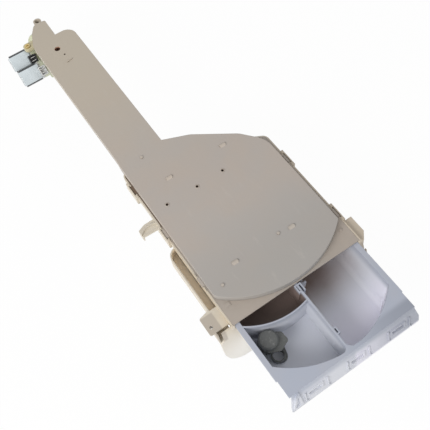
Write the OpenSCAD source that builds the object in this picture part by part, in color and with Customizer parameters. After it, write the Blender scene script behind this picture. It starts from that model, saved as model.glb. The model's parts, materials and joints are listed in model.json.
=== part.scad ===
// Detergent dispenser housing of a front-loading washing machine: a moulded tub with its drawer,
// a two-layer water distributor whose long arm reaches back to a double inlet valve, and the valve.
// The origin lies on the front flange's face, in the middle of its lower border.
// +X is right, +Y runs back to the valve, and the drawer pulls out along -Y.

/* [Housing] */
// Width over the tub's upper rim
rim_w = 187.2; // [182:0.2:194]
// Length of the tub's left side, from the front flange back
tub_len = 271; // [265:1:277]
// Where the slanted rear wall starts, measured from the centre line
rear_kink_x = -20; // [-26:1:-14]
// Slant of the rear wall on the right
rear_slant = 29.5; // [27:0.5:31]
// Lean of the front face from upright
front_lean = 16; // [14:0.5:18]
// Wall of the tub
tub_wall = 2; // [1.6:0.1:2.4]
// Draft of the tub's and the drawer's side walls
side_draft = 7.5; // [6:0.5:8]
// Fall of the tub's floor from the front to the sump
sump_drop = 27; // [22:1:32]

/* [Levels] */
// Height of the top cover above the origin
cover_z = 69; // [67:0.5:71]
// Height of the top cover's rim
cover_h = 10; // [9:0.5:12]
// Thickness of the distributor plate
plate_t = 2; // [1.6:0.1:2.4]
// Gap between the distributor plate and the drawer's rim
lid_gap = 1.5; // [1.2:0.1:2]
// Depth of the drawer below its rim
drawer_h = 46; // [43:0.5:47]

/* [Front flange] */
// Reach of the flange left of the centre line
flange_left = 113; // [110:0.5:116]
// Reach of the flange right of the centre line
flange_right = 98; // [96:0.5:100]
// Border of the flange below the drawer opening
flange_border = 12; // [10:0.5:14]
// Radius of the flange's lower corners
flange_r = 27; // [22:1:30]
// Thickness of the flange
flange_t = 2.5; // [2:0.1:3]

/* [Drawer] */
// How far the drawer stands open, up to its catch
drawer_out = 96; // [90:1:96]
// Running clearance beside the drawer's lips
drawer_gap = 0.4; // [0.3:0.05:0.6]
// Width of the lips that run on the tub's rails
lip_w = 6.5; // [5.5:0.5:7.5]
// Wall of the drawer
drawer_wall = 1.8; // [1.5:0.1:2.2]
// Radius of the compartments' shared front arc
ledge_r = 120; // [117:1:124]
// Left face of the divider, from the centre line
divider_x = -4.2; // [-8:0.2:0]
// Radius of the wall behind the softener compartment
softener_r = 92; // [89:0.5:95]
// Height of the drawer's front flange
pull_h = 33; // [30:0.5:35]
// Distance between the handle's clip slots
clip_pitch = 59; // [57:0.5:61]

/* [Siphon] */
// Diameter of the siphon cap
cap_d = 24; // [22:0.5:25]
// Height of the siphon cap
cap_h = 33; // [30:0.5:36]
// Outside diameter of the standpipe
pipe_d = 9; // [8:0.5:10]
// Bore of the standpipe
pipe_bore = 6.5; // [5.5:0.5:7]

/* [Top cover] */
// Width of the cover over the tub
cover_w = 176.5; // [174:0.5:178]
// Radius of the cover's bowed front edge
cover_r = 130; // [127:1:133]
// Sheet thickness of the cover
cover_t = 2.2; // [1.8:0.1:2.6]
// Width of the arm
arm_w = 64.5; // [60:0.5:68]
// Distance from the origin to the arm's square end
arm_end = 538.5; // [532:0.5:545]
// Length of the tongue beyond the arm's square end
tongue_len = 37; // [33:0.5:40]
// Depth of the water channel in the arm
arm_depth = 16; // [14:0.5:18]

/* [Clips] */
// Length of a snap clip
clip_len = 27; // [24:1:30]
// How far the clips stand out from the rim
clip_out = 2.6; // [2.2:0.1:3.2]

/* [Outlet] */
// Outside diameter of the outlet spout
spout_d = 34; // [30:1:38]
// Length of the outlet spout below the sump
spout_len = 32; // [26:1:38]

/* [Inlet valve] */
// Distance between the two coils
coil_pitch = 35.5; // [35:0.5:38]
// Angle by which the yokes' flat sides turn towards the front
coil_tilt = 47; // [44:1:50]
// Width of a coil's steel yoke strip
yoke_w = 21.6; // [20:0.2:22]
// Depth of a coil's steel yoke across the coil
yoke_h = 28; // [27:0.5:28]
// Length of a coil's steel yoke
yoke_l = 30; // [29:0.5:31]
// Thickness of the yoke's strip
yoke_t = 1.5; // [1.2:0.1:1.8]
// Diameter of the diaphragm chambers
chamber_d = 26; // [25:0.5:26]
// Outside diameter of the inlet thread, three-quarter inch
inlet_d = 26.4; // [26:0.1:26.6]
// Length of the threaded inlet
inlet_len = 15; // [12:0.5:18]
// Bore of the inlet
inlet_bore = 19; // [17:0.5:20]
// Diameter of the plungers
plunger_d = 8; // [7.5:0.1:8.4]
// Travel of the plungers
plunger_travel = 2.5; // [2:0.1:3]

/* [Hidden] */

$fn = 64;
eps = 0.01;
far = 400;
arc_steps = 8;

lean = tan(front_lean);
draft = tan(side_draft);
rim_x = rim_w / 2;
plate_top = cover_z - cover_h;
plate_z = plate_top - plate_t;
lip_top = plate_z - lid_gap;
lip_h = 3;
rail_gap = 0.3;
rail_z = lip_top - lip_h - rail_gap;
seat_w = 2;
lip_x = rim_x - seat_w - tub_wall - drawer_gap + 0.3;
drawer_x = lip_x - lip_w + drawer_wall;
floor_z = lip_top - drawer_h;
side_gap = 1.6;
tub_x = drawer_x + side_gap + tub_wall;

// Rounded outlines

function unit(v) = v / norm(v);
function turned(v, a) = [v.x * cos(a) - v.y * sin(a), v.x * sin(a) + v.y * cos(a)];

// Points of the outline with corners [x, y, radius], each rounded by an arc
function rounded(c) = [for (i = [0:len(c) - 1])
    let (n = len(c), p = [c[i].x, c[i].y],
         before = c[(i + n - 1) % n], after = c[(i + 1) % n],
         u = unit([before.x, before.y] - p), v = unit([after.x, after.y] - p),
         half = acos(u * v) / 2, r = c[i].z,
         centre = p + (r > 0 ? unit(u + v) * r / sin(half) : [0, 0]),
         s = p + (r > 0 ? u * r / tan(half) : [0, 0]) - centre,
         e = p + (r > 0 ? v * r / tan(half) : [0, 0]) - centre,
         sweep = r > 0 ? atan2(cross(s, e), s * e) : 0)
    for (k = [0:(r > 0 ? arc_steps : 0)]) centre + (r > 0 ? turned(s, sweep * k / arc_steps) : [0, 0])];

// Sharp points along an arc, for an outline
function arc(c, r, a0, a1, n = 24) =
    [for (k = [0:n]) [c.x + r * cos(a0 + (a1 - a0) * k / n), c.y + r * sin(a0 + (a1 - a0) * k / n), 0]];

// Extrusions along the two level axes: a (x, z) outline along Y and a (y, z) outline along X

module along_y(y0, y1) {
    translate([0, y1, 0]) rotate([90, 0, 0]) linear_extrude(y1 - y0) children();
}

module along_x(x0, x1) {
    translate([x0, 0, 0]) rotate([90, 0, 90]) linear_extrude(x1 - x0) children();
}

module level(z0, z1) {
    translate([0, 0, z0]) linear_extrude(z1 - z0) children();
}

// The leaning slab between two distances in front of or behind the front face
module leaning(d0, d1, z0 = -60, z1 = 100) {
    along_x(-far, far) polygon([[lean * z0 + d0, z0], [lean * z0 + d1, z0],
        [lean * z1 + d1, z1], [lean * z1 + d0, z1]]);
}

// Plan of the tub: straight sides, a square rear left and a slanted rear right

function rear_y(x, inset) = x < rear_kink_x ? tub_len - inset
    : tub_len - (x - rear_kink_x) * tan(rear_slant) - inset / cos(rear_slant);
function kink_x(inset) = rear_kink_x - inset * (1 / cos(rear_slant) - 1) / tan(rear_slant);
function tub_plan(half, inset, r) = rounded([[-half, -far, 0], [half, -far, 0],
    [half, rear_y(half, inset), r], [kink_x(inset), tub_len - inset, r], [-half, tub_len - inset, r]]);

// Cross-section with drafted sides, half its width given at the drawer's rim
function drafted(half, z0, z1, r) = rounded([[-half - (z1 - lip_top) * draft, z1, 0],
    [-half + (lip_top - z0) * draft, z0, r], [half - (lip_top - z0) * draft, z0, r],
    [half + (z1 - lip_top) * draft, z1, 0]]);

// Tub

tub_r = 10;
front_floor_z = floor_z - 6;
sump_y0 = 185;
sump_y1 = 219;
rear_floor_z = -6;
tub_bottom = front_floor_z - sump_drop;
opening_z = floor_z - 3.5;
gutter_x = 105;
gutter_y0 = 47;
gutter_y1 = 142;
gutter_z0 = 36;
gutter_r = 14;
gutter_wall = 1.8;
ledge_z = cover_z - 15;
ear_x = 118.5;
ear_y0 = 23;
ear_y1 = 47;
ear_t = 3;
ear_hole = [-112.5, 31];
ear_hole_d = 4.2;
ear_boss_d = 9;
ear_boss_h = 9;
ear_wall = 1.8;
pocket_z = 38;
block_x = 106;
block_y0 = 25;
block_y1 = 49;
block_z0 = 38;
block_wall = 2;
hook_y0 = 176;
hook_y1 = 191;
hook_x = 117;
hook_t = 2.4;
spout_at = [-30, 202];
spout_wall = 2.2;
groove_r = 0.9;

// Clips by side (-1 left, 1 right) and place along the side
clips = [[-1, 239.5], [-1, 161.5], [-1, 82.5], [1, 161.5], [1, 62]];
clip_wall = 1.5;
clip_leg = 5;
clip_z0 = plate_z - 12;
clip_z1 = plate_top + 0.8;
nose_len = 13;
nose_gap = 0.4;

module tub_floor_profile(t) {
    polygon([[-far, far], [-far, front_floor_z + t], [0, front_floor_z + t],
        [sump_y0, tub_bottom + t], [sump_y1, tub_bottom + t],
        [tub_len + 30, rear_floor_z + 30 * (rear_floor_z - tub_bottom) / (tub_len - sump_y1) + t],
        [tub_len + 30, far]]);
}

module tub_body(grow) {
    intersection() {
        level(-far, plate_z) polygon(tub_plan(rim_x, tub_wall - grow, tub_r));
        along_y(-far, far) polygon(drafted(tub_x - tub_wall + grow, tub_bottom - 20, plate_z + 10, 0));
        along_x(-far, far) tub_floor_profile(tub_wall - grow);
    }
}

module flange_outline() {
    top = plate_z - 1;
    polygon(rounded([[-flange_left + 5.5, top, 0], [-flange_left + 5.5, 42, 0], [-flange_left, 39, 0],
        [-flange_left, opening_z - flange_border, flange_r],
        [flange_right + 3, opening_z - flange_border, flange_r],
        [flange_right + 3, 33, 0], [flange_right, 31, 0], [flange_right - 2, top, 0]]));
}

module gutter_plan(inset) {
    polygon(rounded([[-gutter_x + inset, gutter_y0 + inset, 0], [-rim_x + 12, gutter_y0 + inset, 0],
        [-rim_x + 12, gutter_y1 - inset, 0], [-gutter_x + inset, gutter_y1 - inset, gutter_r - inset]]));
}

module clip_loop() {
    reach = rim_x + clip_out;
    difference() {
        translate([rim_x - 1, -clip_len / 2, clip_z0]) cube([clip_out + 1, clip_len, clip_z1 - clip_z0]);
        translate([rim_x - 2, -clip_len / 2 + clip_leg, clip_z0 + 4])
            cube([reach - clip_wall - rim_x + 2, clip_len - 2 * clip_leg, far]);
        translate([rim_x + 0.6, -far / 2, clip_z0 - 1]) rotate([0, 38, 0]) cube([20, far, 20]);
    }
}

module hook_plan() {
    polygon(rounded([[-rim_x + 1, hook_y0 - 1, 0], [-rim_x + 1, hook_y1, 0], [-hook_x + 10, hook_y1, 8],
        [-hook_x, hook_y1 - 4, 1], [-hook_x, hook_y0, 1]]));
}

module cable_hook() {
    rib_c = [-rim_x - 9, hook_y0 - 12];
    rib_r = 22;
    level(ledge_z - hook_t, ledge_z) hook_plan();
    intersection() {
        level(ledge_z - eps, ledge_z + 3) hook_plan();
        level(ledge_z - eps, ledge_z + 3) translate(rib_c) difference() {
            circle(rib_r);
            circle(rib_r - 1.6);
        }
    }
    level(ledge_z - 9, ledge_z) intersection() {
        hook_plan();
        translate([-hook_x, hook_y0 - 5]) square([1.8, 30]);
    }
    along_x(-hook_x, -rim_x + 1) translate([hook_y0 + 6, 0]) polygon([[0, ledge_z - 9], [1.6, ledge_z - 9],
        [1.6, ledge_z], [0, ledge_z]]);
}

// Screw ear and the pocket under it, moulded on the tub and a node of its own
module fixing_ear() {
    color("antiquewhite") difference() {
        union() {
            level(ledge_z - ear_t, ledge_z) polygon(rounded([[-ear_x, ear_y0, 2], [-rim_x, ear_y0, 0],
                [-rim_x, ear_y1 + 4, 0], [-gutter_x, ear_y1 + 3, 0], [-ear_x, ear_y1, 2]]));
            translate([ear_hole.x, ear_hole.y, ledge_z - ear_boss_h])
                cylinder(d = ear_boss_d, h = ear_boss_h);
            along_y(ear_y1 - ear_wall, ear_y1) polygon([[-rim_x, ledge_z], [-ear_x + 2, ledge_z],
                [-rim_x, ledge_z - 22]]);
            intersection() {
                union() {
                    translate([-flange_left, 0, pocket_z]) cube([ear_wall, ear_y1, ledge_z - pocket_z]);
                    translate([-flange_left, 0, pocket_z]) cube([flange_left - rim_x, ear_y1, ear_wall]);
                }
                leaning(flange_t, far);
            }
        }
        level(-far, far) gutter_plan(0);
        translate([ear_hole.x, ear_hole.y, ledge_z - ear_boss_h - 1]) cylinder(d = ear_hole_d, h = far);
        // Room for the screw below its boss
        translate([ear_hole.x, ear_hole.y, 0]) cylinder(d = ear_boss_d - 1, h = ledge_z - ear_boss_h);
    }
}

module side_block() {
    plan = [[rim_x - 3, block_y1], [block_x, block_y1], [block_x, block_y0], [rim_x + 2, block_y0 - 13],
        [rim_x - 3, block_y0 - 13]];
    difference() {
        level(block_z0, ledge_z) polygon(plan);
        level(block_z0 - 1, ledge_z - block_wall) intersection() {
            translate([rim_x - 8, 0]) square([block_x - rim_x + 8 - block_wall, block_y1 - block_wall]);
            translate([-block_wall, 0]) polygon(plan);
        }
        leaning(-far, 0.5);
    }
}

module spout() {
    translate([spout_at.x, spout_at.y, tub_bottom - spout_len]) difference() {
        cylinder(d = spout_d, h = spout_len + 6);
        translate([0, 0, 3]) rotate_extrude() translate([spout_d / 2, 0]) circle(r = groove_r, $fn = 24);
    }
}

module dispenser_tub() {
    color("antiquewhite") difference() {
        union() {
            intersection() {
                level(rail_z - tub_wall, plate_top) polygon(tub_plan(rim_x, 0, tub_r));
                leaning(0, far);
            }
            intersection() {
                tub_body(tub_wall);
                leaning(0, far);
            }
            intersection() {
                along_y(-40, 80) flange_outline();
                leaning(0, flange_t);
            }
            level(gutter_z0, ledge_z) gutter_plan(0);
            for (c = clips) translate([0, c.y, 0]) mirror([c.x < 0 ? 1 : 0, 0, 0]) clip_loop();
            cable_hook();
            side_block();
            spout();
        }
        // Seat of the distributor plate
        level(plate_z, far) polygon(tub_plan(rim_x - seat_w, seat_w, tub_r - seat_w));
        // Runway of the drawer's lips, over the rails
        level(rail_z, far) polygon(tub_plan(lip_x + drawer_gap, seat_w + tub_wall, tub_r - 3));
        // Lead-in of the rails at the front flange
        intersection() {
            level(rail_z - 1.5, far) polygon(tub_plan(lip_x + drawer_gap, seat_w + tub_wall, tub_r - 3));
            leaning(-1, flange_t);
        }
        // Notch of the rear rim, where the arm crosses it
        level(plate_z, far) translate([arm_x0 - plate_clear, tub_len - tub_r])
            square([arm_x1 - arm_x0 + 2 * plate_clear, 2 * tub_r]);
        // Inside of the tub
        intersection() {
            tub_body(0);
            level(-far, far) polygon(tub_plan(rim_x, seat_w + tub_wall, tub_r - 3));
        }
        // Opening for the drawer in the front flange
        along_y(-40, 30) polygon(drafted(tub_x - tub_wall, opening_z, far, 6));
        // Inside of the side gutter
        intersection() {
            level(gutter_z0 + gutter_wall, far) gutter_plan(gutter_wall);
            along_y(-far, far) polygon([[-far, far], [-rim_x, far], [-rim_x, rail_z - tub_wall],
                [-tub_x, rail_z - tub_wall], [-tub_x + (lip_top - gutter_z0) * draft, gutter_z0],
                [-far, gutter_z0]]);
        }
        // Window of each snap clip
        for (c = clips) translate([0, c.y, 0]) mirror([c.x < 0 ? 1 : 0, 0, 0])
            translate([rim_x - seat_w - 1, -nose_len / 2 - nose_gap, plate_z])
                cube([seat_w + 1.01, nose_len + 2 * nose_gap, far]);
        // Bore of the spout
        translate([spout_at.x, spout_at.y, -far]) cylinder(d = spout_d - 2 * spout_wall, h = far);
    }
}

// Distributor plate and the lower half of its arm

plate_clear = 0.2;
rib_t = 1.6;
rib_z = cover_z - cover_t;
cover_x0 = -90.5;
cover_wall = 1.8;
tongue_x = -51.8;
arm_gap = 0.2;
arm_x0 = cover_x0 + 1 + cover_wall + arm_gap;
arm_x1 = cover_x0 + 1 + arm_w - cover_wall - arm_gap;
arm_z = cover_z - arm_depth;
arm_y0 = tub_len + 0.4;
coil_y = [arm_end + 25.8, arm_end + 25.8 - coil_pitch];
outlet_x = -66;
socket_d = 16.6;
socket_bore = 13;
socket_h = 8;
screw_at = [-93.4, arm_end + 20];
screw_d = 4;
tab_t = 3;
stop_x = 6;
stop_y = 18;
hole_d = 2.6;

function arm_outline(inset) = let (x0 = arm_x0 + inset, x1 = arm_x1 - inset, e = arm_end - 3 - inset)
    rounded([[x0, arm_y0 - 40, 0], [x1, arm_y0 - 40, 0], [x1, e, 14], [tongue_x - 2 - inset, e, 0],
        [tongue_x - 2 - inset, arm_end + tongue_len - 2.5 - inset, 3],
        [-70, arm_end + tongue_len - 2.5 - inset, 6],
        [-78.5, arm_end + 20 - inset, 20], [x0, arm_end - 12, 20]]);

module plate_outline() {
    intersection() {
        polygon(tub_plan(rim_x - seat_w - plate_clear, seat_w + plate_clear, tub_r - seat_w));
        translate([-far, lean * plate_top]) square([2 * far, far]);
    }
}

// Channel walls that share the water between the compartments
module channel_walls() {
    r0 = cover_r - 14;
    level(plate_top - eps, rib_z) {
        intersection() {
            translate([0, 148]) difference() {
                circle(r0);
                circle(r0 - rib_t);
            }
            translate([-rim_x + 10, 30]) square([rim_x * 2 - 24, 130]);
        }
        translate([divider_x, 36]) square([rib_t, 130]);
        intersection() {
            translate([-27, 180]) difference() {
                circle(softener_r);
                circle(softener_r - rib_t);
            }
            translate([-rim_x + 10, 84]) square([rim_x - 14, 60]);
        }
        translate([arm_x0, 150]) square([rib_t, arm_y0 - 150]);
        translate([arm_x0 + 18, 162]) square([rib_t, arm_y0 - 162]);
        translate([arm_x0 + 38, 162]) square([rib_t, arm_y0 - 162]);
        translate([arm_x1 - rib_t, 166]) square([rib_t, arm_y0 - 166]);
        translate([arm_x1 - rib_t, 166]) square([80, rib_t]);
    }
}

module shower_holes() {
    for (i = [0:4], j = [0:4])
        translate([18 + 13 * i, 62 + 15 * j + 3 * (i % 2), plate_z - 1]) cylinder(d = hole_d, h = plate_t + 2);
    for (i = [0:3], j = [0:2])
        translate([-70 + 17 * i, 108 + 14 * j, plate_z - 1]) cylinder(d = hole_d, h = plate_t + 2);
    for (i = [0:3]) translate([-70 + 17 * i, 60, plate_z - 1]) cylinder(d = hole_d, h = plate_t + 2);
}

module clip_nose() {
    translate([rim_x - seat_w - 1, 0, plate_z]) along_y(-nose_len / 2, nose_len / 2)
        polygon([[0, 0], [seat_w + 1.6, 0], [seat_w + 1.6, plate_t], [0, plate_t + 1]]);
}

module arm_channel() {
    difference() {
        level(arm_z, rib_z) polygon(arm_outline(0));
        level(arm_z + plate_t, far) difference() {
            polygon(arm_outline(rib_t));
            translate([arm_x0 + 36, arm_y0 - 60]) square([rib_t, arm_end - arm_y0 + 10]);
            translate([arm_x0 + 19, arm_end - 20]) square([24, rib_t]);
        }
        translate([-far, -far, 0]) cube([2 * far, arm_y0 + far, plate_z]);
        translate([arm_x0 + rib_t, -far, plate_top])
            cube([arm_x1 - arm_x0 - 2 * rib_t, arm_y0 + far + 2, far]);
        for (y = coil_y) translate([outlet_x, y, 0]) cylinder(d = socket_bore, h = far);
        translate([arm_x0 - 5, -far, plate_top - 60]) cube([arm_w + 10, arm_y0 + far, 60 + eps]);
    }
    translate([arm_x0, arm_y0, arm_z]) cube([arm_x1 - arm_x0, plate_t, plate_top - arm_z]);
    level(plate_z, plate_top) translate([arm_x0, tub_len - tub_r])
        square([arm_x1 - arm_x0, tub_r + arm_y0 - tub_len + plate_t]);
}

module outlet_sockets() {
    for (y = coil_y) translate([outlet_x, y, arm_z - socket_h]) difference() {
        cylinder(d = socket_d, h = socket_h + 1);
        translate([0, 0, -1]) cylinder(d = socket_bore, h = socket_h + 3);
    }
}

module screw_tab() {
    difference() {
        level(arm_z - tab_t, arm_z + 1) polygon(rounded([[screw_at.x - 6.5, screw_at.y - 7.5, 6],
            [outlet_x - socket_bore / 2 - 3, screw_at.y - 7.5, 0],
            [outlet_x - socket_bore / 2 - 3, screw_at.y + 7.5, 0], [screw_at.x - 6.5, screw_at.y + 7.5, 6]]));
        translate([screw_at.x, screw_at.y, 0]) cylinder(d = screw_d + 0.4, h = far);
    }
}

module distributor_plate() {
    color("linen") {
        difference() {
            union() {
                level(plate_z, plate_top) plate_outline();
                channel_walls();
                for (c = clips) translate([0, c.y, 0]) mirror([c.x < 0 ? 1 : 0, 0, 0]) clip_nose();
                arm_channel();
                outlet_sockets();
                screw_tab();
                translate([stop_x, stop_y, lip_top + 0.4]) cube([4, 2, plate_z - lip_top]);
                translate([-86, 38, plate_top - eps]) cube([6.5, 5.5, 0.8]);
                translate([82, 40, plate_top - eps]) cylinder(d = 4, h = 0.8);
            }
            shower_holes();
        }
    }
}

// Top cover

cover_x1 = cover_x0 + cover_w;
cover_c = [0, 148];
cover_corner = 10;

// Height at which the cover's bowed front edge crosses a given x
function bow_y(x) = cover_c.y - sqrt(cover_r * cover_r - (x - cover_c.x) * (x - cover_c.x));
function cover_outline(w) = let (x0 = cover_x0 + w, x1 = cover_x1 - w, ax = cover_x0 + 1 + w,
        bx = cover_x0 + 1 + arm_w - w, r = cover_r - w,
        a0 = atan2(bow_y(x0) - cover_c.y, x0), a1 = atan2(bow_y(x1) - cover_c.y, x1))
    rounded(concat([[x0, bow_y(x0) + w, cover_corner]],
        arc(cover_c, r, a0 + 5, a1 - 3.5, 40),
        [[x1, bow_y(x1) + w, 4], [x1, 196 - w * 0.6, 36], [62.5 - w * 0.6, 225 - w, 30], [10.5, 262.5 - w, 20],
         [bx, 278 - w, 0], [bx, arm_end - w, 16], [tongue_x - w, arm_end - w, 0],
         [tongue_x + 0.6 - w, arm_end + tongue_len - w, 3], [-70 + w * 0.4, arm_end + tongue_len - w, 7],
         [-80 + w * 0.8, arm_end + 22 - w * 0.3, 30], [ax, arm_end - 2, 30], [ax, 285, 0], [x0, 275, 0]]));

hood_len = 9;
hood_r = 4;
hood_h = 1.4;
hoods = [[-47.8, 221.8], [34.8, 222.4], [34, 74.4], [-47.3, 75.8]];
pips = [[-60.4, 269.6], [-75.4, 60.4], [16, 76.5]];
vent_holes = [[-70.8, 189.6], [-26.3, 189.4], [12.7, 190]];
vent_d = 3.4;
arm_hole = [-62.2, arm_end - 28.1];
arm_hole_d = 8.4;
arm_vent = [-58.3, arm_end - 44.2];
stub_at = [-61.5, arm_end + 42];
stub_d = 12;

module top_cover() {
    color("rosybrown") {
        difference() {
            union() {
                level(rib_z, cover_z) polygon(cover_outline(0));
                difference() {
                    level(plate_top, cover_z) polygon(cover_outline(0));
                    level(plate_top - 1, rib_z) polygon(cover_outline(cover_wall));
                }
                for (h = hoods) translate([h.x, h.y, cover_z]) hood();
                for (p = pips) translate([p.x, p.y, cover_z - eps]) cylinder(d = 4, h = 1.2);
                for (p = vent_holes) translate([p.x, p.y, cover_z - eps]) cylinder(d = vent_d + 2.4, h = 0.5);
                translate([stub_at.x, stub_at.y, plate_top]) cylinder(d = stub_d, h = cover_h);
                translate([-58, arm_end - 59.5, cover_z - eps]) rotate([0, 0, 12]) translate([-4.5, -0.8, 0])
                    cube([9, 1.6, 1]);
            }
            for (p = vent_holes) translate([p.x, p.y, 0]) cylinder(d = vent_d, h = far);
            translate([arm_hole.x, arm_hole.y, 0]) cylinder(d = arm_hole_d, h = far);
            translate([arm_vent.x, arm_vent.y, 0]) cylinder(d = 2.6, h = far);
            translate([stub_at.x, stub_at.y, plate_top + 3]) cylinder(d = stub_d - 4, h = far);
        }
    }
}

module hood() {
    intersection() {
        translate([-hood_len / 2, 0, hood_h - hood_r]) rotate([0, 90, 0]) cylinder(r = hood_r, h = hood_len);
        translate([-far / 2, -far / 2, -eps]) cube(far);
        translate([0, 0, -eps]) cylinder(d = hood_len, h = 5);
    }
}

// Drawer, modelled shut and moved out by drawer_out

pull_gap = 0.3;
pull_low = lip_top - pull_h - 2;
pull_t = 2;
pull_left = 89.5;
pull_right = 94.5;
ledge_c = [0, 137.3];
softener_c = [-27.2, 179.4];
divider_t = 2.8;
rear_gap = 6;
step_len = 21;
compartment_r = 9;
post_y = 101;
post_w = 9;
post_l = 11;
siphon_x = -66;
siphon_reach = softener_r + drawer_wall / 2 + cap_d / 2 + 0.6;
siphon_at = [siphon_x, softener_c.y - sqrt(pow(siphon_reach, 2) - pow(siphon_x - softener_c.x, 2))];
slot_l = 17;
slot_h = 6.5;
slot_z = lip_top - 19;
pull_groups = [-1, 0, 1];
pull_mid = 5;

module softener_plan() {
    x0 = -drawer_x + drawer_wall;
    difference() {
        intersection() {
            polygon(rounded(concat(
                arc(ledge_c, ledge_r, -90 - asin(-x0 / ledge_r), -90 - asin(12 / ledge_r), 20),
                [[divider_x, ledge_c.y - ledge_r + 0.2, 6], [divider_x, 130, 0], [x0, 130, 0]])));
        }
        translate(softener_c) circle(softener_r + drawer_wall / 2, $fn = 180);
    }
}

module prewash_plan() {
    x0 = -drawer_x + drawer_wall;
    intersection() {
        translate(softener_c) circle(softener_r - drawer_wall / 2, $fn = 180);
        polygon(rounded([[x0, 60, 0], [divider_x, 60, 0], [divider_x, 200, 0], [x0, 200, 0]]));
    }
    intersection() {
        polygon([[x0, 170], [divider_x, 170], [divider_x, far], [x0, far]]);
        polygon(tub_plan(rim_x, seat_w + tub_wall + rear_gap + drawer_wall, 6));
    }
}

module main_plan() {
    x0 = divider_x + divider_t;
    x1 = drawer_x - drawer_wall;
    intersection() {
        polygon(concat([for (p = arc(ledge_c, ledge_r, -90 + asin(14 / ledge_r),
            -90 + asin(x1 / ledge_r), 24)) [p.x, p.y]], [[x1, far], [x0, far]],
            [[x0, ledge_c.y - ledge_r + 6], [x0 + 5, ledge_c.y - ledge_r + 1.2]]));
        polygon(tub_plan(rim_x, seat_w + tub_wall + rear_gap + drawer_wall, 6));
    }
}

module drawer_inside() {
    intersection() {
        along_y(-far, far) polygon(drafted(drawer_x - drawer_wall, floor_z + drawer_wall, far, compartment_r));
        children();
    }
}

module clip_frame() {
    difference() {
        square([slot_l + 5, slot_h + 4.4], center = true);
        square([slot_l, slot_h], center = true);
        translate([-slot_l / 2 - 6, -slot_h / 2 - 4]) square([7, slot_h]);
    }
}

module flange_rib() {
    square([1.6, 15], center = true);
    translate([3, -7.5]) difference() {
        circle(3.8);
        circle(2.2);
        translate([-5, 0]) square(10);
        translate([0, -5]) square(10);
    }
}

module pull_flange() {
    top = lip_top - 1.5;
    low = pull_low;
    face = -pull_gap - pull_t;
    difference() {
        intersection() {
            along_y(-60, 40) polygon(rounded([[-pull_left + 5, top, 0], [-pull_left, low, 2],
                [pull_right, low, 2], [pull_right, low + 12, 0], [lip_x - 2, top, 0]]));
            leaning(face, -pull_gap);
        }
        for (s = [-1, 1]) along_y(-60, 40)
            translate([pull_mid + clip_pitch + s * 15.5, low]) square([5, 12], center = true);
    }
    intersection() {
        along_y(-60, 40) for (g = pull_groups) translate([pull_mid + g * clip_pitch, 0]) {
            translate([-2, slot_z]) clip_frame();
            for (s = [-1, 1]) translate([s * 15.5, slot_z - 0.5]) flange_rib();
        }
        leaning(face - 1.4, face + eps);
    }
    intersection() {
        along_y(-60, 40) difference() {
            polygon([[-pull_left + 9.5, top], [-pull_left + 2, low + 5], [-pull_left + 16, low + 5],
                [-pull_left + 13, top]]);
            polygon([[-pull_left + 11, top - 7], [-pull_left + 5.5, low + 8], [-pull_left + 11.5, low + 8]]);
        }
        leaning(face - 1.8, face + eps);
    }
}

// Slots for the handle's clips, through the flange and the drawer's front wall
module clip_slots() {
    intersection() {
        along_y(-60, 40) for (g = pull_groups)
            translate([pull_mid - 2 + g * clip_pitch, slot_z]) square([slot_l, slot_h], center = true);
        leaning(-pull_gap - 2 * pull_t, 0.3);
    }
}

module drawer_post() {
    difference() {
        translate([divider_x - 2.4, post_y, lip_top - 22]) cube([post_w, post_l, 22 + 0.7]);
        translate([divider_x - 0.8, post_y + 1.8, lip_top - 12]) cube([post_w - 3.2, post_l - 3.6, far]);
        translate([divider_x + 2.2, post_y - 1, lip_top - 8]) cube([2.4, 5, far]);
    }
    // Catch that meets the stop rib under the distributor plate
    translate([stop_x - 0.5, post_y + post_l - 2, lip_top - 20]) cube([5, 2, 14]);
    translate([divider_x + divider_t, post_y + post_l - 2, lip_top - 20])
        cube([stop_x - divider_x - divider_t + 0.2, 2, 14]);
    translate([stop_x - 0.5, stop_y + 2 + pull_gap + drawer_out, lip_top - 20]) cube([4.5, 2.2, 21]);
    translate([stop_x - 0.5, post_y + post_l - 2, lip_top - 20])
        cube([4.5, stop_y + 4 + drawer_out - post_y - post_l + 2, 3]);
}

module drawer_body() {
    rear = seat_w + tub_wall + rear_gap;
    difference() {
        union() {
            intersection() {
                level(floor_z, lip_top) polygon(tub_plan(rim_x, rear, 8));
                along_y(-far, far) polygon(drafted(drawer_x, floor_z, far, compartment_r + drawer_wall));
                leaning(-pull_gap - pull_t, far);
            }
            intersection() {
                level(lip_top - 2, lip_top) difference() {
                    polygon(tub_plan(lip_x, rear, 8));
                    for (s = [-1, 1]) translate([s * (lip_x + 8.7), 0])
                        square([20, 2 * (step_len + 14)], center = true);
                }
                leaning(-pull_gap - pull_t, far);
            }
            for (s = [-1, 1]) intersection() {
                translate([s * (lip_x - 0.9) - 0.9, 14 + step_len, lip_top - lip_h]) cube([1.8, far, lip_h]);
                level(0, far) polygon(tub_plan(lip_x, rear, 8));
            }
        }
        drawer_inside() level(0, far) softener_plan();
        drawer_inside() level(0, far) prewash_plan();
        drawer_inside() level(0, far) main_plan();
        // Hollow under the front ledge
        intersection() {
            difference() {
                level(-1, lip_top - 2) translate([-drawer_x, -50]) square([2 * drawer_x, 130]);
                level(-2, far) translate(ledge_c) circle(ledge_r + drawer_wall, $fn = 180);
            }
            union() {
                leaning(0.2, far);
                level(-10, pull_low) square(2 * far, center = true);
            }
        }
        // Flushing outlets in the rear walls
        translate([-drawer_x + 14, tub_len - 60, floor_z + 8]) cube([drawer_x + divider_x - 22, 60, far]);
        translate([divider_x + divider_t + 8, 60, floor_z + 8]) intersection() {
            cube([drawer_x - 22, far, far]);
            translate([-divider_x, 90, 0]) cube(far);
        }
    }
}

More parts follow.
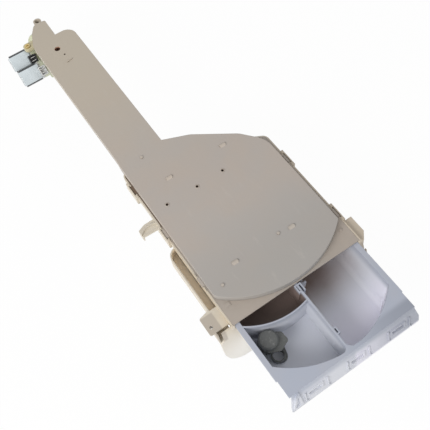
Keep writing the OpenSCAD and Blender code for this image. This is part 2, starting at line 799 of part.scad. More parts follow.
module drawer() {
    color("lightsteelblue") translate([0, -drawer_out, 0]) difference() {
        union() {
            drawer_body();
            pull_flange();
            drawer_post();
            translate([siphon_at.x, siphon_at.y, floor_z]) cylinder(d = pipe_d, h = 28);
            difference() {
                translate([divider_x + divider_t - eps, 38, lip_top - 12]) cube([3.4, 9, 12]);
                translate([divider_x + divider_t, 39.6, lip_top - 13]) cube([2, 5.8, 14]);
            }
        }
        translate([siphon_at.x, siphon_at.y, 0]) cylinder(d = pipe_bore, h = far);
        clip_slots();
    }
}

// Siphon cap

cap_wall = 1.8;
skirt_d = 19;
cap_z = floor_z + drawer_wall;

module siphon_cap() {
    color("dimgray") translate([siphon_at.x, siphon_at.y - drawer_out, cap_z]) difference() {
        union() {
            translate([0, 0, 4]) cylinder(d = skirt_d, h = cap_h - 8);
            translate([0, 0, cap_h - 11]) cylinder(d = cap_d, h = 9);
            translate([0, 0, cap_h - 2]) cylinder(d1 = cap_d, d2 = cap_d - 4, h = 2);
            level(24, 26) polygon(rounded([[-8, -12, 2], [6, -18, 4], [20, -12, 3], [19, 1, 4], [4, 9, 4],
                [-7, 10, 2]]));
            level(0, 2) polygon(rounded([[0, -24, 4], [12, -26, 8], [17, -6, 5], [14, 4, 5], [0, 9, 2]]));
            translate([3, -16, 0.8]) cylinder(d = 17, h = 8.2);
        }
        translate([0, 0, -1]) cylinder(d = skirt_d - 2 * cap_wall, h = cap_h - cap_wall + 1);
        translate([3, -16, -1]) cylinder(d = 14, h = 20);
        for (a = [20, 140]) rotate([0, 0, a]) translate([0, -3, 3.5]) cube([20, 6, 5]);
    }
}

// Inlet valve: nylon body, two coils with their axes along X

valve_z = 30;
face_x = -93.7;
seat_d = 11;
seat_bore = 7;
chamber_l = 13;
wall_n = 2.2;
manifold_x = -80;
manifold_z = 21;
manifold_d = 12.4;
inlet_x = -72;
inlet_y = arm_end + 42.5;
inlet_z = 26;
inlet_flange = 4;
stub_od = 11;
stub_bore = 7;
guide_d = 10;
guide_bore = plunger_d + 0.5;
plunger_l = 14;
guide_l = plunger_l + plunger_travel + 13.5;
guide_end = 1.5;
bonnet_t = 2.5;
coil_x1 = face_x - bonnet_t - 0.3;
coil_d = 27;
coil_fit = 0.2;
shroud_h = 6;
shroud_wall = 1.4;
// Each terminal shroud's reach: x from and to, then across the coil from and to
shrouds = [[-101, -89.5, -12, 1], [-99, -88.5, -9, 5]];
tab_w = 6.3;
tab_thick = 0.8;
tab_pitch = 5;

module lying_x(x, y, z) {
    translate([x, y, z]) rotate([0, 90, 0]) children();
}

module lying_y(x, y, z) {
    translate([x, y, z]) rotate([-90, 0, 0]) children();
}

module valve_body() {
    color("honeydew") difference() {
        union() {
            for (y = coil_y) {
                lying_x(face_x, y, valve_z) cylinder(d = chamber_d, h = chamber_l);
                lying_x(face_x, y, valve_z) cylinder(d = stub_od, h = outlet_x - face_x);
                translate([outlet_x, y, valve_z]) cylinder(d = stub_od, h = arm_z - valve_z + 1);
                translate([outlet_x, y, valve_z]) sphere(d = stub_od);
            }
            lying_y(manifold_x, coil_y[1] - 12, manifold_z)
                cylinder(d = manifold_d, h = inlet_y - inlet_flange - coil_y[1] + 13);
            lying_y(inlet_x, inlet_y - inlet_flange, inlet_z) cylinder(d = inlet_d + 5, h = inlet_flange);
            lying_y(inlet_x, inlet_y - inlet_flange - 5, inlet_z)
                cylinder(d = inlet_d, h = inlet_flange + inlet_len + 5);
            level(arm_z - tab_t - 4, arm_z - tab_t) polygon(rounded([[face_x - 2, screw_at.y - 5, 0],
                [-76, screw_at.y - 5, 2], [-76, screw_at.y + 8, 2], [-86, screw_at.y + 8, 4],
                [face_x - 2, screw_at.y + 5, 2]]));
            translate([-84, screw_at.y - 1.1, valve_z + 8]) cube([8, 2.2, arm_z - tab_t - valve_z - 8]);
        }
        for (y = coil_y) {
            // Ring chamber round the seat, open towards the bonnet
            lying_x(face_x - 1, y, valve_z) difference() {
                cylinder(d = chamber_d - 2 * wall_n, h = chamber_l - 1);
                translate([0, 0, 5]) cylinder(d = seat_d, h = chamber_l);
            }
            lying_x(face_x, y, valve_z) cylinder(d = seat_bore, h = outlet_x - face_x);
            translate([outlet_x, y, valve_z]) cylinder(d = stub_bore, h = far);
            translate([outlet_x, y, valve_z]) sphere(d = stub_bore);
        }
        lying_y(manifold_x, coil_y[1] - 9, manifold_z)
            cylinder(d = manifold_d - 2 * wall_n, h = inlet_y - coil_y[1] + 7);
        lying_y(inlet_x, inlet_y - 6, inlet_z) cylinder(d = inlet_bore, h = 60);
        translate([screw_at.x, screw_at.y, arm_z - tab_t - 6]) cylinder(d = screw_d - 0.7, h = far);
    }
}

module inlet_strainer() {
    color("white") lying_y(inlet_x, inlet_y + inlet_len - 4, inlet_z) difference() {
        union() {
            cylinder(d = inlet_bore - 0.6, h = 3);
            translate([0, 0, -8]) cylinder(d = inlet_bore - 5, h = 9);
        }
        translate([0, 0, -6]) cylinder(d = inlet_bore - 7.4, h = 30);
        for (a = [0:45:315]) rotate([0, 0, a]) translate([0, -1.4, -6.5]) cube([12, 2.8, 5.5]);
    }
}

module flow_regulator() {
    color("saddlebrown") lying_y(inlet_x, inlet_y - 6, inlet_z) difference() {
        cylinder(d = inlet_bore - 0.4, h = 3);
        translate([0, 0, -1]) cylinder(d = 5, h = 5);
    }
}

module outlet_seal(i) {
    color("black") translate([outlet_x, coil_y[i], arm_z - 5]) difference() {
        cylinder(d = socket_bore - 0.1, h = 2);
        translate([0, 0, -1]) cylinder(d = stub_od + 0.1, h = 4);
    }
}

module diaphragm(i) {
    color("darkslategray") lying_x(face_x + 0.2, coil_y[i], valve_z) difference() {
        union() {
            cylinder(d = chamber_d - 2 * wall_n - 0.4, h = 1.4);
            cylinder(d = seat_d, h = 3.6);
        }
        translate([0, 0, -1]) cylinder(d = 2, h = 10);
    }
}

module guide_tube(i) {
    color("whitesmoke") translate([face_x, coil_y[i], valve_z]) rotate([0, -90, 0]) difference() {
        union() {
            cylinder(d = chamber_d, h = bonnet_t);
            cylinder(d = guide_d, h = bonnet_t + guide_l);
        }
        translate([0, 0, -1]) cylinder(d = guide_bore, h = bonnet_t + guide_l - guide_end + 1);
    }
}

plunger_x = face_x - 0.3;
spring_end_x = face_x - bonnet_t - guide_l + guide_end + 0.2;
spring_len = plunger_x - plunger_l - spring_end_x - 0.2;
spring_d = 5.4;
spring_wire = 0.7;
spring_turns = 6;

module plunger(i) {
    color("gray") translate([plunger_x, coil_y[i], valve_z]) rotate([0, -90, 0]) difference() {
        cylinder(d = plunger_d, h = plunger_l);
        for (a = [0, 180]) rotate([0, 0, a]) translate([plunger_d / 2 - 0.6, -0.6, -1])
            cube([2, 1.2, plunger_l + 2]);
    }
}

// Rings joined by short ties stand in for the spring's turns
module plunger_spring(i) {
    pitch = (spring_len - spring_wire) / spring_turns;
    color("silver") translate([spring_end_x, coil_y[i], valve_z]) rotate([0, 90, 0]) union() {
        for (k = [0:spring_turns]) translate([0, 0, spring_wire / 2 + k * pitch]) rotate_extrude($fn = 24)
            translate([spring_d / 2, 0]) circle(d = spring_wire, $fn = 16);
        for (k = [0:spring_turns - 1]) rotate([0, 0, 180 * k])
            translate([spring_d / 2, 0, spring_wire / 2 + k * pitch])
                cylinder(d = spring_wire * 0.8, h = pitch, $fn = 16);
    }
}

// Place of coil i: its yoke's flat side turns towards the front
module at_coil(i) {
    translate([0, coil_y[i], valve_z]) rotate([coil_tilt, 0, 0]) children();
}

module coil(i) {
    s = shrouds[i];
    half = yoke_h / 2 - yoke_t - coil_fit;
    color(i == 0 ? "black" : "white") at_coil(i) difference() {
        union() {
            intersection() {
                lying_x(coil_x1 - yoke_l + yoke_t + coil_fit, 0, 0)
                    cylinder(d = coil_d, h = yoke_l - 2 * yoke_t - 2 * coil_fit);
                translate([-far, -far, -half]) cube([2 * far, 2 * far, 2 * half]);
            }
            translate([s[0], s[2], yoke_h / 2 - 4])
                cube([coil_x1 - yoke_t - coil_fit - s[0], s[3] - s[2], 6]);
            translate([s[0], s[2], yoke_h / 2 + 0.3]) cube([s[1] - s[0], s[3] - s[2], shroud_h]);
        }
        lying_x(-far, 0, 0) cylinder(d = guide_d + 0.5, h = far);
        translate([s[0] + shroud_wall, s[2] + shroud_wall, yoke_h / 2 + 1.6])
            cube([s[1] - s[0] - 2 * shroud_wall, s[3] - s[2] - 2 * shroud_wall, far]);
    }
}

module yoke(i) {
    s = shrouds[i];
    color("silver") at_coil(i) difference() {
        translate([coil_x1 - yoke_l, -yoke_w / 2, -yoke_h / 2]) cube([yoke_l, yoke_w, yoke_h]);
        translate([coil_x1 - yoke_l + yoke_t, -far, yoke_t - yoke_h / 2])
            cube([yoke_l - 2 * yoke_t, 2 * far, yoke_h - 2 * yoke_t]);
        lying_x(-far, 0, 0) cylinder(d = guide_d + 0.5, h = far);
        translate([s[0] - coil_fit, s[2] - coil_fit, yoke_h / 2 - 5])
            cube([coil_x1 - s[0] + 1, s[3] - s[2] + 2 * coil_fit, 10]);
    }
}

module terminals(i) {
    s = shrouds[i];
    color("silver") at_coil(i) for (k = [-0.5, 0.5])
        translate([(s[0] + s[1] - tab_w) / 2, (s[2] + s[3] - tab_thick) / 2 + k * tab_pitch,
            yoke_h / 2 + 1.6]) cube([tab_w, tab_thick, shroud_h + 0.5]);
}

module valve_screw() {
    color("darkgoldenrod") translate([screw_at.x, screw_at.y, arm_z + 1]) difference() {
        union() {
            cylinder(d = 8, h = 2.2);
            translate([0, 0, -9]) cylinder(d = screw_d - 0.8, h = 10);
        }
        for (a = [0, 90]) rotate([0, 0, a]) translate([-2.2, -0.6, 1]) cube([4.4, 1.2, 3]);
    }
}

top_cover();
distributor_plate();
dispenser_tub();
fixing_ear();
drawer();
siphon_cap();
valve_body();
inlet_strainer();
flow_regulator();
outlet_seal(0);  // outlet_seal_1
outlet_seal(1);  // outlet_seal_2
diaphragm(0);  // diaphragm_1
diaphragm(1);  // diaphragm_2
guide_tube(0);  // guide_tube_1
guide_tube(1);  // guide_tube_2
plunger(0);  // plunger_1
plunger(1);  // plunger_2
plunger_spring(0);  // plunger_spring_1
plunger_spring(1);  // plunger_spring_2
coil(0);  // coil_1
coil(1);  // coil_2
yoke(0);  // yoke_1
yoke(1);  // yoke_2
terminals(0);  // terminals_1
terminals(1);  // terminals_2
valve_screw();
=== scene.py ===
import json
import math

import bpy
from mathutils import Matrix, Vector

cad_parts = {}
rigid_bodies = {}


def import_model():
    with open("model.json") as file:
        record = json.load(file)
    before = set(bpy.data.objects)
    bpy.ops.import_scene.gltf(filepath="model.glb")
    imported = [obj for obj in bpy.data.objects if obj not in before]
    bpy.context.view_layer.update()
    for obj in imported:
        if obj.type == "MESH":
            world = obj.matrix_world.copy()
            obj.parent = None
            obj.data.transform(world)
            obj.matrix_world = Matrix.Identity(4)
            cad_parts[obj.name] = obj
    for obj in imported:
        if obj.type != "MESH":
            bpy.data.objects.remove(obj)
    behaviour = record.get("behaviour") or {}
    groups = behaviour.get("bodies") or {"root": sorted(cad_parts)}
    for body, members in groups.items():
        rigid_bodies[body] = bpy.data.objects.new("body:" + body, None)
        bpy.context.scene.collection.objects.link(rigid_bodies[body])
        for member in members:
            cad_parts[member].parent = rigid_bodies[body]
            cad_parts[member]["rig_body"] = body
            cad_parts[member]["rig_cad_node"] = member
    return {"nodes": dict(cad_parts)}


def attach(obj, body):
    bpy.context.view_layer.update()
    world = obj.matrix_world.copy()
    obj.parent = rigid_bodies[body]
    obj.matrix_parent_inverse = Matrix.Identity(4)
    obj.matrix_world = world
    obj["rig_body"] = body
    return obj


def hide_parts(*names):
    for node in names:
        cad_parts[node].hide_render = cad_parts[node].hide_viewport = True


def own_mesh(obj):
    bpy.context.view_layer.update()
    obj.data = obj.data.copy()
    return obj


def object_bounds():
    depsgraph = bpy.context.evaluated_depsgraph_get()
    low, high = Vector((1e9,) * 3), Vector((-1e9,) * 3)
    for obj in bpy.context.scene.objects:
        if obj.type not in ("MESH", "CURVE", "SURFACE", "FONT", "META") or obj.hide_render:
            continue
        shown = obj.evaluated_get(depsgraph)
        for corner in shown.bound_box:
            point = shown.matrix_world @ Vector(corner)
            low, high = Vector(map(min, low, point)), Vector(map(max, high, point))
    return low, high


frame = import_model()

cad_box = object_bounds()

# Camera: stands in front of the drawer, a little to its left, and looks down at the cover
# from nearly a metre away. Its place and roll were worked out from the corners of the
# cover, the drawer and the arm.
camera_at = Vector((-0.19765, -0.19684, 0.74436))
azimuth, elevation, roll = math.radians(-26.18), math.radians(60.78), math.radians(-8.92)
ahead = Vector((-math.sin(azimuth) * math.cos(elevation), math.cos(azimuth) * math.cos(elevation),
                -math.sin(elevation)))
level_right = Vector((math.cos(azimuth), math.sin(azimuth), 0))
level_up = level_right.cross(ahead)
view_right = math.cos(roll) * level_right + math.sin(roll) * level_up
view_up = math.cos(roll) * level_up - math.sin(roll) * level_right
camera = bpy.data.objects.new("camera", bpy.data.cameras.new("camera"))
camera.data.sensor_width = 36
camera.data.lens = 633.4 / 430 * camera.data.sensor_width
camera.data.clip_start, camera.data.clip_end = 0.01, 20
camera.matrix_world = Matrix.Translation(camera_at) @ Matrix(
    (view_right, view_up, -ahead)).transposed().to_4x4()
bpy.context.scene.collection.objects.link(camera)
bpy.context.scene.camera = camera

# Housing tub: one large moulding in cream polypropylene, with drafted walls, a floor that
# falls to the sump, the slanted front flange, five snap loops round the rim, the cable hook
# and the side gutter. The screw ear is part of the same moulding.


class Wire:
    """A shader socket. Sums on it add Math nodes, and feed adds any other node."""

    def __init__(self, socket):
        self.socket = socket

    def feed(self, kind, settings=None, sockets=None, out=0):
        node = self.socket.id_data.nodes.new(kind)
        for name, value in (settings or {}).items():
            setattr(node, name, value)
        for name, value in (sockets or {}).items():
            if isinstance(value, Wire):
                self.socket.id_data.links.new(value.socket, node.inputs[name])
            else:
                node.inputs[name].default_value = value
        return Wire(node.outputs[out])

    def _sum(self, operation, a, b=0.0):
        return self.feed("ShaderNodeMath", {"operation": operation}, {0: a, 1: b})

    def __add__(self, other):
        return self._sum("ADD", self, other)

    __radd__ = __add__

    def __mul__(self, other):
        return self._sum("MULTIPLY", self, other)

    __rmul__ = __mul__

    def __sub__(self, other):
        return self._sum("SUBTRACT", self, other)

    def __rsub__(self, other):
        return self._sum("SUBTRACT", other, self)

    def capped(self):
        return self.feed("ShaderNodeClamp", None, {0: self})

    def span(self, low, high):
        """0 at low and 1 at high, smooth between."""
        return self.feed("ShaderNodeMapRange", {"interpolation_type": "SMOOTHSTEP"},
                         {"Value": self, "From Min": low, "From Max": high})

    def between(self, low, high, edge):
        """1 from low to high, softened inside them over the edge, and 0 beyond."""
        return self.span(low, low + edge) * (1 - self.span(high - edge, high))

    def axes(self):
        """The x, y and z of a vector."""
        parted = self.feed("ShaderNodeSeparateXYZ", None, {0: self}).socket.node
        return [Wire(one) for one in parted.outputs]


def noise(place, scale, detail=3.0, rough=0.55, stretch=(1, 1, 1)):
    """Noise over the piece, about 0.5 in the middle; scale is in patches to the metre."""
    moved = place.feed("ShaderNodeMapping", None, {"Vector": place, "Scale": stretch})
    return place.feed("ShaderNodeTexNoise", None, {"Vector": moved, "Scale": scale, "Detail": detail,
                                                   "Roughness": rough})


def blend_colour(share, a, b):
    """Colour a where share is 0 and colour b where it is 1."""
    return share.feed("ShaderNodeMix", {"data_type": "RGBA"}, {0: share, 6: a, 7: b}, out=2)


def rgba(*levels):
    return (*levels, 1.0)


def new_finish(name, **constants):
    """A material with its Principled node's constants set, its coordinates and its end."""
    finish = bpy.data.materials.new(name)
    finish.use_nodes = True
    surface = finish.node_tree.nodes["Principled BSDF"]
    for socket, value in constants.items():
        surface.inputs[socket.replace("_", " ")].default_value = value
    coordinates = finish.node_tree.nodes.new("ShaderNodeTexCoord")
    return finish, Wire(coordinates.outputs["Object"]), surface


def join_to(surface, arris, bump_height, bump_depth, **wires):
    """Links the wires to the surface's sockets, and rounds its edges by arris and raises it by
    the height through the normal."""
    links = surface.id_data.links
    for name, wire in wires.items():
        links.new(wire.socket, surface.inputs[name.replace("_", " ")])
    rounded = bump_height.feed("ShaderNodeBevel", {"samples": 6}, {"Radius": arris})
    bump = bump_height.feed("ShaderNodeBump", None, {"Height": bump_height, "Strength": 1.0,
                                                     "Distance": bump_depth, "Normal": rounded})
    links.new(bump.socket, surface.inputs["Normal"])


def moulded(name, colour, warm, cool, rough, specks=0.04, grain=1.0, dust=None, wear_and_painted_light=None, arris=0.0005,
            **constants):
    """Moulded plastic: slow clouding of the colour, fine specks, a spark-eroded grain, where
    dust is given a thin coat on what faces up, and over that the wear and painted light and shade that the
    given function paints."""
    finish, place, surface = new_finish(name, Base_Color=rgba(*colour), Roughness=rough, **constants)
    cloud = noise(place, 14, 4).span(0.3, 0.72)
    fine = noise(place, 900, 2)
    paint = blend_colour(cloud, rgba(*warm), rgba(*cool))
    paint = blend_colour((noise(place, 55, 3, 0.6) - 0.35).capped() * 0.9, paint, rgba(*colour))
    paint = blend_colour((fine.span(0.62, 0.78) * specks).capped(), paint,
                         rgba(*(0.55 * level for level in colour)))
    if dust:
        facing = place.feed("ShaderNodeNewGeometry", None, None, out=1).axes()[2]
        film_and_painted_shade = facing.span(0.4, 1.0) * noise(place, 38, 5, 0.65).span(0.42, 0.75)
        paint = blend_colour(film_and_painted_shade * 0.35, paint, rgba(*dust))
    if wear_and_painted_light:
        paint = wear_and_painted_light(place, paint)
    gloss = rough + (noise(place, 40, 4) - 0.5) * 0.18 + (fine - 0.5) * 0.06
    flow = noise(place, 60, 2, 0.4, (1, 0.25, 1)) * 0.6 + fine * 0.25 * grain
    join_to(surface, arris, flow, 0.00012 * grain, Base_Color=paint, Roughness=gloss)
    return finish


def wake(piece):
    """Makes the piece the only selected and active object."""
    bpy.ops.object.select_all(action="DESELECT")
    piece.hide_set(False)
    piece.select_set(True)
    bpy.context.view_layer.objects.active = piece


def finished(piece, turn=28):
    """Shades the piece's curved faces smooth and its flat ones flat."""
    wake(piece)
    bpy.ops.object.shade_smooth_by_angle(angle=math.radians(turn))
    level = piece.modifiers.new("level", "WEIGHTED_NORMAL")
    level.keep_sharp = True
    bpy.ops.object.modifier_apply(modifier=level.name)


def dressed(node, finish, body="housing"):
    """A copy of a CAD node with its loose triangles merged, so that its curved faces shade
    smoothly. It stands for the node."""
    piece = frame["nodes"][node].copy()
    piece.data = piece.data.copy()
    piece.name = piece.data.name = node + "_moulding"
    piece.parent = None
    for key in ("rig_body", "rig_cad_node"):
        if key in piece:
            del piece[key]
    bpy.context.scene.collection.objects.link(piece)
    wake(piece)
    bpy.ops.object.mode_set(mode="EDIT")
    bpy.ops.mesh.select_all(action="SELECT")
    bpy.ops.mesh.remove_doubles(threshold=1e-6)
    bpy.ops.object.mode_set(mode="OBJECT")
    bpy.ops.mesh.customdata_custom_splitnormals_clear()
    finished(piece)
    piece.data.materials.clear()
    piece.data.materials.append(finish)
    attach(piece, body)
    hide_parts(node)
    return piece


gutter_left, gutter_right, gutter_front, gutter_rear, gutter_rim = -0.1036, -0.0932, 0.0485, 0.1404, 0.0539
gutter_soft_edge = 0.0004
border_x, border_y, right_flange_x = (-0.06, 0), (0.0, 0.02), (0.09, 0.094)
ear_x, ear_y, ear_z = (-0.1035, -0.1015), (0.045, 0.047), (0.040, 0.044)


def tub_painted_light_and_shade(place, paint):
    """Painted light on the side gutter and the left of the flange, painted paler as if lit, and
    painted shade on the ear's top and the right flange, painted darker and greyer."""
    x, y, z = place.axes()
    # Painted light: the inside of the side gutter painted pale cream, standing in for light in its shaded
    # depth.
    gutter = x.between(gutter_left, gutter_right, gutter_soft_edge) * y.between(gutter_front, gutter_rear, gutter_soft_edge)
    gutter = gutter * (1 - z.span(gutter_rim - gutter_soft_edge, gutter_rim))
    paint = blend_colour(gutter, paint, rgba(0.97, 0.86, 0.70))
    # Painted light: the left front of the tub and flange painted near white, as lit by the lamp from the
    # left.
    border = (1 - y.span(*border_y)) * (1 - x.span(*border_x))
    paint = blend_colour(border * 0.8, paint, rgba(0.90, 0.89, 0.85))
    # Painted shade: the right end of the flange painted darker and browner, as shaded from the light on the
    # left.
    paint = blend_colour(x.span(*right_flange_x) * 0.5, paint, rgba(0.50, 0.42, 0.34))
    # Painted shade: the ear's top painted greyer and darker, to the colour it has in shade.
    ear = (1 - x.span(*ear_x)) * (1 - y.span(*ear_y)) * z.span(*ear_z)
    return blend_colour(ear * 0.75, paint, rgba(0.44, 0.39, 0.335))


cream = moulded("cream_polypropylene", (0.66, 0.60, 0.50), (0.67, 0.59, 0.47), (0.68, 0.64, 0.56), 0.42,
                dust=(0.52, 0.45, 0.36), wear_and_painted_light=tub_painted_light_and_shade, IOR=1.49)
dressed("dispenser_tub", cream)
dressed("fixing_ear", cream)

# Distributor plate: the lower half of the water distributor, a flat beige polypropylene
# plate snapped into the tub's rim. Its rear end is the channel to the valve, painted dark
# brown as painted shade under the cover, with a paler brown painted under the arm's hole as
# painted light, and its screw tab is bleached paler.
channel_x, channel_y, channel_z = (0.03, 0.034), (0.17, 0.174), (0.0535, 0.0545)
tab_x, tab_y = (-0.083, -0.082), (0.5405, 0.5415)
arm_hole = (-0.0622, 0.5104)


def near(place, centre, radius, blur=0.0008):
    """1 within the radius of an upright line through the centre and 0 beyond the blur."""
    flat = place.feed("ShaderNodeVectorMath", {"operation": "MULTIPLY"}, {0: place, 1: (1, 1, 0)})
    away = flat.feed("ShaderNodeVectorMath", {"operation": "DISTANCE"}, {0: flat, 1: (*centre, 0)}, out=1)
    return 1 - away.span(radius, radius + blur)


def plate_painted_light_shade_and_tab(place, paint):
    """Painted shade, dark brown, on the plate under the cover's rear, a paler brown painted under
    the arm's hole as painted light in that shaded hole, and the paler screw tab."""
    x, y, z = place.axes()
    # Painted shade: the plate's top under the cover's rear, seen through the vent holes, painted dark brown.
    channel = y.span(*channel_y) * (1 - x.span(*channel_x)) * z.span(*channel_z)
    paint = blend_colour(channel, paint, rgba(0.13, 0.085, 0.055))
    # Painted light: a paler brown on the plate below the arm's hole, so that the shaded hole shows brown.
    paint = blend_colour(near(place, arm_hole, 0.009), paint, rgba(0.75, 0.45, 0.32))
    return blend_colour((1 - x.span(*tab_x)) * y.span(*tab_y), paint, rgba(0.66, 0.60, 0.40))


plate_finish = moulded("beige_polypropylene", (0.425, 0.38, 0.335), (0.435, 0.38, 0.33),
                       (0.41, 0.38, 0.345), 0.5, dust=(0.36, 0.315, 0.27), wear_and_painted_light=plate_painted_light_shade_and_tab, IOR=1.49)
dressed("distributor_plate", plate_finish)

# Top cover: the upper half of the distributor, welded on the plate. Warm grey-beige
# polypropylene with a fine matt grain, four hooded gate marks, three vent holes and the
# long arm that reaches back to the inlet valve, where the plastic has yellowed.
shaded_holes = ((-0.0708, 0.1896, 0.0015), (-0.0263, 0.1894, 0.0015), (0.0127, 0.1900, 0.0015),
                 (-0.0583, 0.4943, 0.0010))
highlight_band_z, rim_foot_z, proud_z, yellow_y, grey_y = (
    (0.0665, 0.0685), (0.0592, 0.0628), (0.0691, 0.0694), (0.20, 0.50), (0.04, 0.16))


def yellowing_and_painted_light(place, paint):
    """Warmer towards the valve and greyer at the front, a little scuffed over the tub; painted
    highlights along the top edge and on the tops of what stands proud, and painted shade at
    the rim's foot, on the raised marks' flanks, in the vent holes and in the arm's hole."""
    x, y, z = place.axes()
    upright = 1 - place.feed("ShaderNodeNewGeometry", None, None, out=1).axes()[2].span(0.3, 0.7)
    # Painted highlight: a pale band on the upright faces just under the cover's top edge, where the rounded
    # edge catches the light.
    paint = blend_colour(upright * z.span(*highlight_band_z) * 0.7, paint, rgba(0.60, 0.56, 0.50))
    # Painted shade: the foot of the cover's upright rim, above the weld, painted dark brown.
    paint = blend_colour(upright * (1 - z.span(*rim_foot_z)) * 0.75, paint, rgba(0.17, 0.13, 0.10))
    paint = blend_colour(y.span(*yellow_y) * 0.85, paint, rgba(0.545, 0.485, 0.395))
    paint = blend_colour((1 - y.span(*grey_y)) * 0.5, paint, rgba(0.33, 0.34, 0.34))
    scuffs = noise(place, 120, 4, 0.7, (1, 0.2, 1)).span(0.60, 0.74)
    paint = blend_colour(scuffs * 0.22, paint, rgba(0.56, 0.52, 0.48))
    proud = z.span(*proud_z)
    # Painted highlight on the tops of the raised marks and bosses, and painted shade, dark brown, on their
    # flanks.
    paint = blend_colour(proud * (1 - upright) * 0.35, paint, rgba(0.66, 0.56, 0.45))
    paint = blend_colour(proud * upright * 0.8, paint, rgba(0.17, 0.11, 0.08))
    # Painted shade: the three vent holes and the small hole by the arm painted dark brown, for the shade
    # inside them.
    for hole_x, hole_y, hole_r in shaded_holes:
        paint = blend_colour(near(place, (hole_x, hole_y), hole_r), paint, rgba(0.10, 0.055, 0.035))
    # Painted shade: the bore of the arm's hole painted brown, for the dim brownish light inside it.
    return blend_colour(near(place, arm_hole, 0.0042, 0.0004), paint, rgba(0.50, 0.29, 0.20))


cover_finish = moulded("warm_grey_polypropylene", (0.48, 0.43, 0.39), (0.49, 0.43, 0.38),
                       (0.465, 0.43, 0.40), 0.44, grain=1.3, wear_and_painted_light=yellowing_and_painted_light, arris=0.0009, IOR=1.49)
dressed("top_cover", cover_finish)

# Drawer: injection-moulded in a cool light-grey polypropylene, with three compartments, the
# lips that run in the tub and the front flange with its clip slots. The brown in the deep
# rear ends, most of all in the prewash compartment, is washing-powder residue and painted
# shade under the plate; the floors are painted paler as painted light, and the flange's
# right end darker as painted shade.
softener_arc, softener_inside = (-0.0272, 0.0834), 0.0912
well_z, residue_and_shade_z, prewash_z = (0.040, 0.053), (0.025, 0.052), (0.048, 0.055)


def powder_residue_and_painted_light(place, paint):
    """Floors painted paler as painted light, paler still at the main compartment's front, the
    flange's right end painted darker as painted shade, and brown from the rear forwards and
    from the floor up, washing-powder residue and painted shade.
    """
    x, y, z = place.axes()
    # Painted light: the compartment floors and low walls painted paler, to lift the shade inside them.
    well = 1 - z.span(*well_z)
    paint = blend_colour(well * 0.9, paint, rgba(0.68, 0.70, 0.76))
    # Painted light: the front of the main compartment's floor painted paler and bluer still.
    main_front = (1 - y.span(-0.06, 0.0)) * x.span(-0.001, 0.004) * well
    paint = blend_colour(main_front * 0.8, paint, rgba(0.88, 0.87, 0.98))
    # Painted shade: the right end of the front flange painted darker, as shaded from the light on the left.
    flange_right = (1 - y.span(-0.074, -0.066)) * x.span(-0.03, 0.09)
    paint = blend_colour(flange_right * z.span(0.020, 0.024) * 0.9, paint, rgba(0.30, 0.325, 0.39))
    # The brown is partly washing-powder residue and partly painted shade under the plate, from the rear
    # forwards and from the floor up, most of all in the prewash compartment.
    patchy = noise(place, 45, 4, 0.6) * 0.5 + 0.75
    main = y.span(-0.030, 0.028) * (1 - z.span(*residue_and_shade_z)) * x.span(-0.003, 0.0)
    main = main * (1 - x.span(0.03, 0.09) * 0.6)
    prewash = near(place, softener_arc, softener_inside, 0.0004) * (1 - z.span(*prewash_z))
    prewash = prewash * (1 - x.span(-0.004, -0.0035))
    film_and_painted_shade = (main * 0.85 * patchy + prewash * 0.85).capped()
    return blend_colour(film_and_painted_shade, paint, rgba(0.215, 0.135, 0.10))


drawer_finish = moulded("cool_grey_polypropylene", (0.44, 0.47, 0.55), (0.455, 0.475, 0.54),
                        (0.43, 0.47, 0.565), 0.36, wear_and_painted_light=powder_residue_and_painted_light, arris=0.0008, IOR=1.49)
dressed("drawer", drawer_finish, body="drawer_unit")

# Siphon cap: a dark grey polypropylene moulding pushed over the drawer's standpipe, with
# dried softener crusted on its top and flanks.


def crusted(place, paint):
    """Pale crumbs of dried softener."""
    crumbs = noise(place, 260, 5, 0.7).span(0.52, 0.68)
    return blend_colour(crumbs * 0.55, paint, rgba(0.26, 0.26, 0.255))


cap_finish = moulded("dark_grey_polypropylene", (0.10, 0.105, 0.105), (0.11, 0.115, 0.11),
                     (0.095, 0.10, 0.105), 0.5, wear_and_painted_light=crusted, IOR=1.49)
dressed("siphon_cap", cap_finish, body="drawer_unit")

# Valve body: natural nylon, pale green-cream, moulded in one with the diaphragm chambers,
# the outlet stubs that plug into the arm and the threaded inlet. The thread's ridge winds
# round the inlet at a pitch of 1.814 mm, three-quarter inch.
inlet_x, inlet_z, thread_from, thread_to = -0.072, 0.026, 0.5835, 0.5952
crest, root, thread_pitch, lead_in, slack = 0.0132, 0.0124, 0.001814, 0.0025, 0.0004

nylon = moulded("natural_nylon", (0.66, 0.68, 0.50), (0.68, 0.68, 0.47), (0.64, 0.69, 0.54), 0.34,
                IOR=1.53)
valve = dressed("valve_body", nylon)
for corner in valve.data.vertices:
    out = Vector((corner.co.x - inlet_x, corner.co.z - inlet_z))
    if thread_from - lead_in < corner.co.y and abs(out.length - crest) < slack:
        out *= root / crest
        corner.co.x, corner.co.z = inlet_x + out.x, inlet_z + out.y


